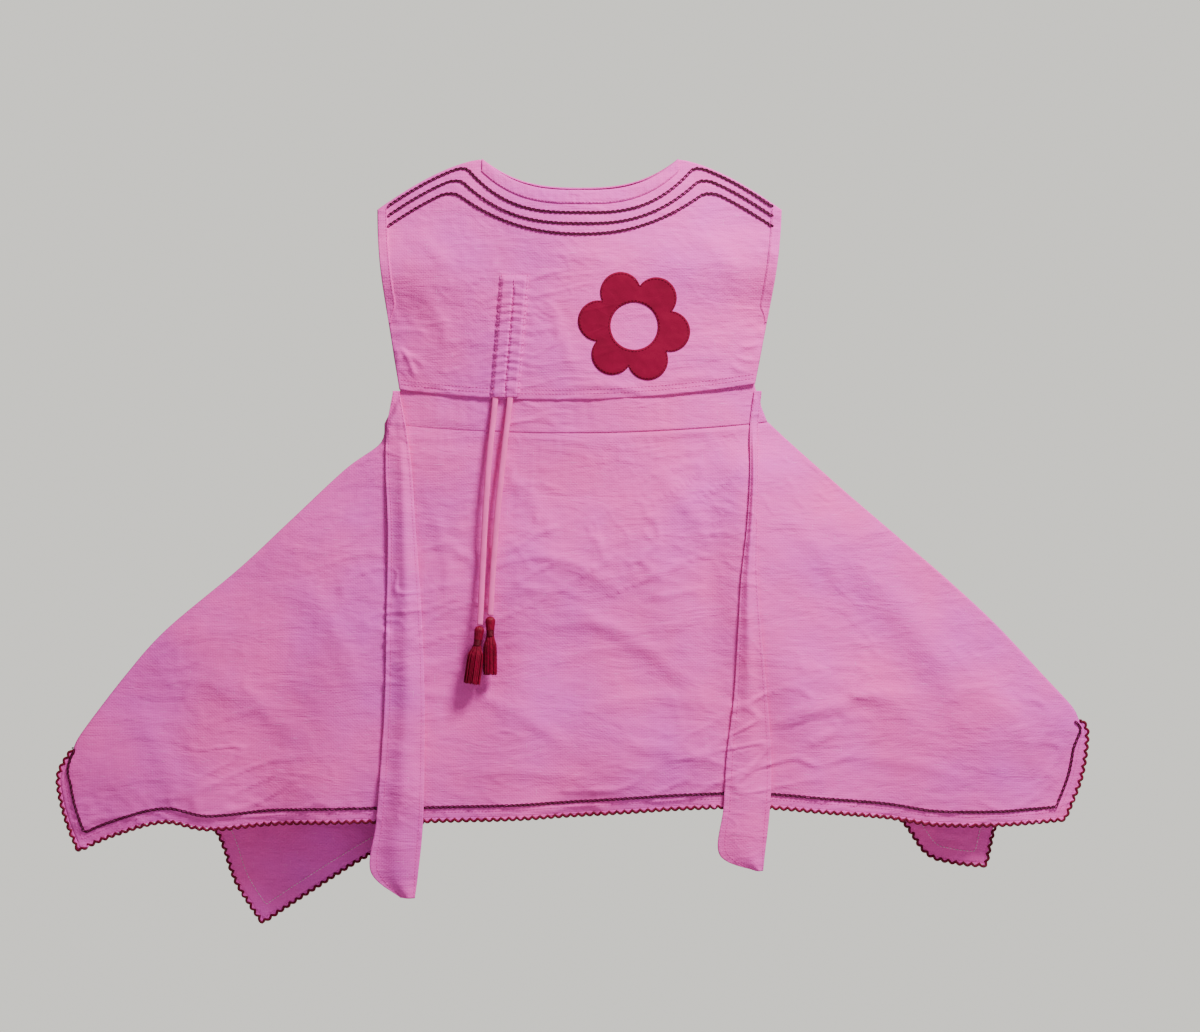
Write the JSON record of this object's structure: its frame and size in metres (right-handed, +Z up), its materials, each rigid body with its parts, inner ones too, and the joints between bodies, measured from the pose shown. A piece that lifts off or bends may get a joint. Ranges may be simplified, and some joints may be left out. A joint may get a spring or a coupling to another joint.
{
  "type": "child's handkerchief-hem dress",
  "caption": "Sleeveless pull-on dress with a flared pointed skirt, waist ties, a tasselled drawcord in a front casing, a flower patch and chain-stitched trim.",
  "frame": {"origin": "midway between the two neck points, at the level at which the shoulders are carried", "axes": "+Z up, the front of the dress faces -Y, +X to the right as seen from the front"},
  "size_m": [0.8831, 0.0733, 0.6575],
  "materials": {
    "pink_cloth": "matt slubbed plain weave",
    "binding_cloth": "matt plain weave with topstitching",
    "cord": "matt sewn tube cord",
    "flower_cloth": "smooth matt felt-like cloth",
    "trim_thread": "lustrous embroidery thread",
    "tassel_thread": "lustrous embroidery thread"
  },
  "bodies": {
    "dress": {"bodice_front": "pink_cloth", "neck_binding_front": "binding_cloth", "armhole_facing_front_left": "binding_cloth", "armhole_facing_front_right": "binding_cloth", "waistband_front": "pink_cloth", "bodice_back": "pink_cloth", "neck_binding_back": "binding_cloth", "armhole_facing_back_left": "binding_cloth", "armhole_facing_back_right": "binding_cloth", "waistband_back": "pink_cloth", "yoke_row_front_upper": "trim_thread", "yoke_row_front_middle": "trim_thread", "yoke_row_front_lower": "trim_thread", "yoke_row_back_upper": "trim_thread", "yoke_row_back_middle": "trim_thread", "yoke_row_back_lower": "trim_thread", "flower_applique": "flower_cloth", "drawcord_casing": "binding_cloth", "drawcord_turn": "cord", "skirt_front": "pink_cloth", "hem_row_front": "trim_thread", "hem_edging_front": "trim_thread"},
    "skirt_back": {"skirt_back": "pink_cloth", "hem_row_back": "trim_thread", "hem_edging_back": "trim_thread"},
    "sash_left": {"sash_left": "pink_cloth"},
    "sash_right": {"sash_right": "pink_cloth"},
    "drawcord_left": {"drawcord_left": "cord"},
    "drawcord_right": {"drawcord_right": "cord"},
    "tassel_left": {"tassel_left_head": "tassel_thread", "tassel_left_tie": "tassel_thread", "tassel_left_threads": "tassel_thread"},
    "tassel_right": {"tassel_right_head": "tassel_thread", "tassel_right_tie": "tassel_thread", "tassel_right_threads": "tassel_thread"}
  },
  "joints": [
    {"name": "skirt_back_flare", "type": "hinge", "parent": "dress", "child": "skirt_back", "pos_m": [-0.003, 0.0225, -0.226], "axis": [1, 0, 0], "range_deg": [0, 30]},
    {"name": "sash_left_swing", "type": "hinge", "parent": "dress", "child": "sash_left", "pos_m": [-0.157, -0.003, -0.2035], "axis": [0, 1, 0], "range_deg": [0, 80]},
    {"name": "sash_right_swing", "type": "hinge", "parent": "dress", "child": "sash_right", "pos_m": [0.1515, -0.003, -0.2035], "axis": [0, -1, 0], "range_deg": [0, 80]},
    {"name": "drawcord_left_slide", "type": "slide", "parent": "dress", "child": "drawcord_left", "axis": [-0.0893, 0, -0.996], "range_m": [-0.01, 0.01]},
    {"name": "drawcord_right_slide", "type": "slide", "parent": "dress", "child": "drawcord_right", "axis": [-0.0893, 0, -0.996], "range_m": [-0.01, 0.01]},
    {"name": "tassel_left_swing", "type": "hinge", "parent": "drawcord_left", "child": "tassel_left", "pos_m": [-0.08463, -0.03464, -0.40146], "axis": [-1, 0, 0], "range_deg": [0, 75]},
    {"name": "tassel_right_swing", "type": "hinge", "parent": "drawcord_right", "child": "tassel_right", "pos_m": [-0.0754, -0.03323, -0.3935], "axis": [-1, 0, 0], "range_deg": [0, 75]}
  ],
  "couplings": [
    {"joint": "drawcord_right_slide", "follows": "drawcord_left_slide", "ratio": -1}
  ]
}
